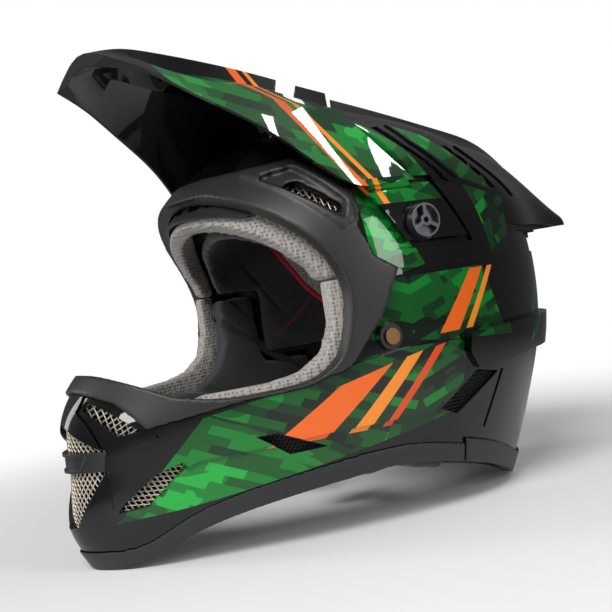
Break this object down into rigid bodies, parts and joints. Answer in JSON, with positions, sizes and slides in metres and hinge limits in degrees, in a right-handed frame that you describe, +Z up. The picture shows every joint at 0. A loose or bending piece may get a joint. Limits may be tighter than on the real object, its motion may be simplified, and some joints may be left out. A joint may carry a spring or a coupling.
{
  "type": "full face bicycle helmet",
  "caption": "Full face downhill bicycle helmet with a tilting visor, vented chin bar, foam liners, removable cheek pads and a strap with rings.",
  "frame": {"origin": "middle of the bounding box at the level of the rim that the helmet rests on", "axes": "+Z up, front towards -Y, +X the wearer's left"},
  "size_m": [0.2534, 0.3908, 0.318],
  "materials": {
    "shell_paint": "high gloss clear coat over a green and black print",
    "visor_paint": "high gloss black with green panels",
    "trim_plastic": "fine moulded grain, matt",
    "bridge_plastic": "satin moulded plastic",
    "rim_rubber": "soft matt rubber",
    "impact_foam": "moulded bead foam, black",
    "stud_plastic": "moulded nylon",
    "pad_fabric": "brushed fabric with spacer mesh",
    "liner_fabric": "spacer mesh and brushed fabric",
    "duct_plastic": "satin moulded plastic",
    "steel_mesh": "bare expanded metal",
    "black_mesh": "black coated expanded metal",
    "screw_metal": "smoked grey anodised",
    "insert_brass": "turned",
    "strap_webbing": "woven polyester webbing",
    "ring_steel": "bright plated steel",
    "rivet_bronze": "antique bronze plated",
    "washer_plastic": "black moulded plastic"
  },
  "bodies": {
    "helmet": {"outer_shell": "shell_paint", "eyeport_trim": "trim_plastic", "rim_trim": "rim_rubber", "nape_trim": "rim_rubber", "crown_foam": "impact_foam", "chin_foam": "impact_foam", "cheek_foam_left": "impact_foam", "cheek_foam_right": "impact_foam", "pad_studs_left": "stud_plastic", "pad_studs_right": "stud_plastic", "comfort_liner": "liner_fabric", "neck_roll": "liner_fabric", "brow_duct": "duct_plastic", "brow_mesh_left": "steel_mesh", "brow_mesh_right": "steel_mesh", "chin_top_mesh_left": "steel_mesh", "chin_top_mesh_right": "steel_mesh", "chin_side_mesh_left": "steel_mesh", "chin_side_mesh_right": "steel_mesh", "mouth_mesh": "steel_mesh", "diamond_mesh_left": "black_mesh", "diamond_mesh_right": "black_mesh", "exhaust_mesh_left": "black_mesh", "exhaust_mesh_right": "black_mesh", "spoiler_mesh_left": "black_mesh", "spoiler_mesh_right": "black_mesh", "mouth_bridge": "bridge_plastic", "screw_insert_left": "insert_brass", "screw_insert_right": "insert_brass", "screw_insert_top": "insert_brass", "strap_left": "strap_webbing", "strap_right": "strap_webbing", "strap_rivet_left": "rivet_bronze", "strap_rivet_right": "rivet_bronze", "strap_washer_left": "washer_plastic", "strap_washer_right": "washer_plastic"},
    "visor": {"visor": "visor_paint"},
    "screw_left": {"visor_screw_left": "screw_metal"},
    "screw_right": {"visor_screw_right": "screw_metal"},
    "screw_top": {"visor_screw_top": "screw_metal"},
    "pad_left": {"cheek_pad_left": "pad_fabric"},
    "pad_right": {"cheek_pad_right": "pad_fabric"},
    "ring_inner": {"d_ring_inner": "ring_steel"},
    "ring_outer": {"d_ring_outer": "ring_steel"}
  },
  "joints": [
    {"name": "visor_tilt", "type": "hinge", "parent": "helmet", "child": "visor", "pos_m": [0, 0.012, 0.182], "axis": [1, 0, 0], "range_deg": [0, 6]},
    {"name": "screw_left_turn", "type": "hinge", "parent": "helmet", "child": "screw_left", "pos_m": [0, 0.012, 0.182], "axis": [1, 0, 0], "continuous": true},
    {"name": "screw_right_turn", "type": "hinge", "parent": "helmet", "child": "screw_right", "pos_m": [0, 0.012, 0.182], "axis": [-1, 0, 0], "continuous": true},
    {"name": "screw_top_turn", "type": "hinge", "parent": "helmet", "child": "screw_top", "pos_m": [0, 0.012, 0.182], "axis": [0, -0.247, 0.969], "continuous": true},
    {"name": "pad_left_pull", "type": "slide", "parent": "helmet", "child": "pad_left", "axis": [-1, 0, 0], "range_m": [0, 0.012]},
    {"name": "pad_right_pull", "type": "slide", "parent": "helmet", "child": "pad_right", "axis": [1, 0, 0], "range_m": [0, 0.012]},
    {"name": "ring_inner_swing", "type": "hinge", "parent": "helmet", "child": "ring_inner", "pos_m": [0.012, -0.018, 0.0477], "axis": [0, 1, 0], "range_deg": [-40, 40]},
    {"name": "ring_outer_swing", "type": "hinge", "parent": "helmet", "child": "ring_outer", "pos_m": [0.018, -0.018, 0.0477], "axis": [0, 1, 0], "range_deg": [-40, 40]}
  ],
  "couplings": [
    {"joint": "ring_outer_swing", "follows": "ring_inner_swing", "ratio": 1}
  ]
}
